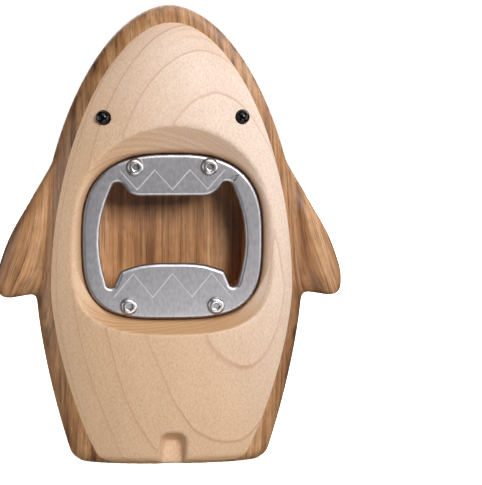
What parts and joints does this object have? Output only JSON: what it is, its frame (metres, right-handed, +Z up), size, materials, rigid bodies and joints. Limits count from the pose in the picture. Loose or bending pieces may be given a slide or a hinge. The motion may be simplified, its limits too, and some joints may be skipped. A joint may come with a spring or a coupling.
{
  "type": "bottle opener",
  "caption": "Standing wooden shark bottle opener: two glued boards, a screwed steel plate as its open mouth with a cap pocket behind it, side fins and bead eyes.",
  "frame": {"origin": "middle of the base between the feet, on the floor", "axes": "+Z up to the nose, the mouth faces -Y, +X to the right of someone looking at the mouth"},
  "size_m": [0.113, 0.0412, 0.15],
  "materials": {
    "light_wood": "sanded and lightly oiled, satin",
    "brown_wood": "sanded and oiled, satin",
    "plate_steel": "fine brushed, rounded polished edges",
    "screw_steel": "turned, bright",
    "insert_brass": "turned",
    "eye_bead": "gloss black"
  },
  "bodies": {
    "root": {"front_face": "light_wood", "rear_body": "brown_wood", "opener_plate": "plate_steel", "screw_upper_left": "screw_steel", "screw_upper_right": "screw_steel", "screw_lower_left": "screw_steel", "screw_lower_right": "screw_steel", "insert_upper_left": "insert_brass", "insert_upper_right": "insert_brass", "insert_lower_left": "insert_brass", "insert_lower_right": "insert_brass", "eye_left": "eye_bead", "eye_right": "eye_bead"}
  },
  "joints": []
}
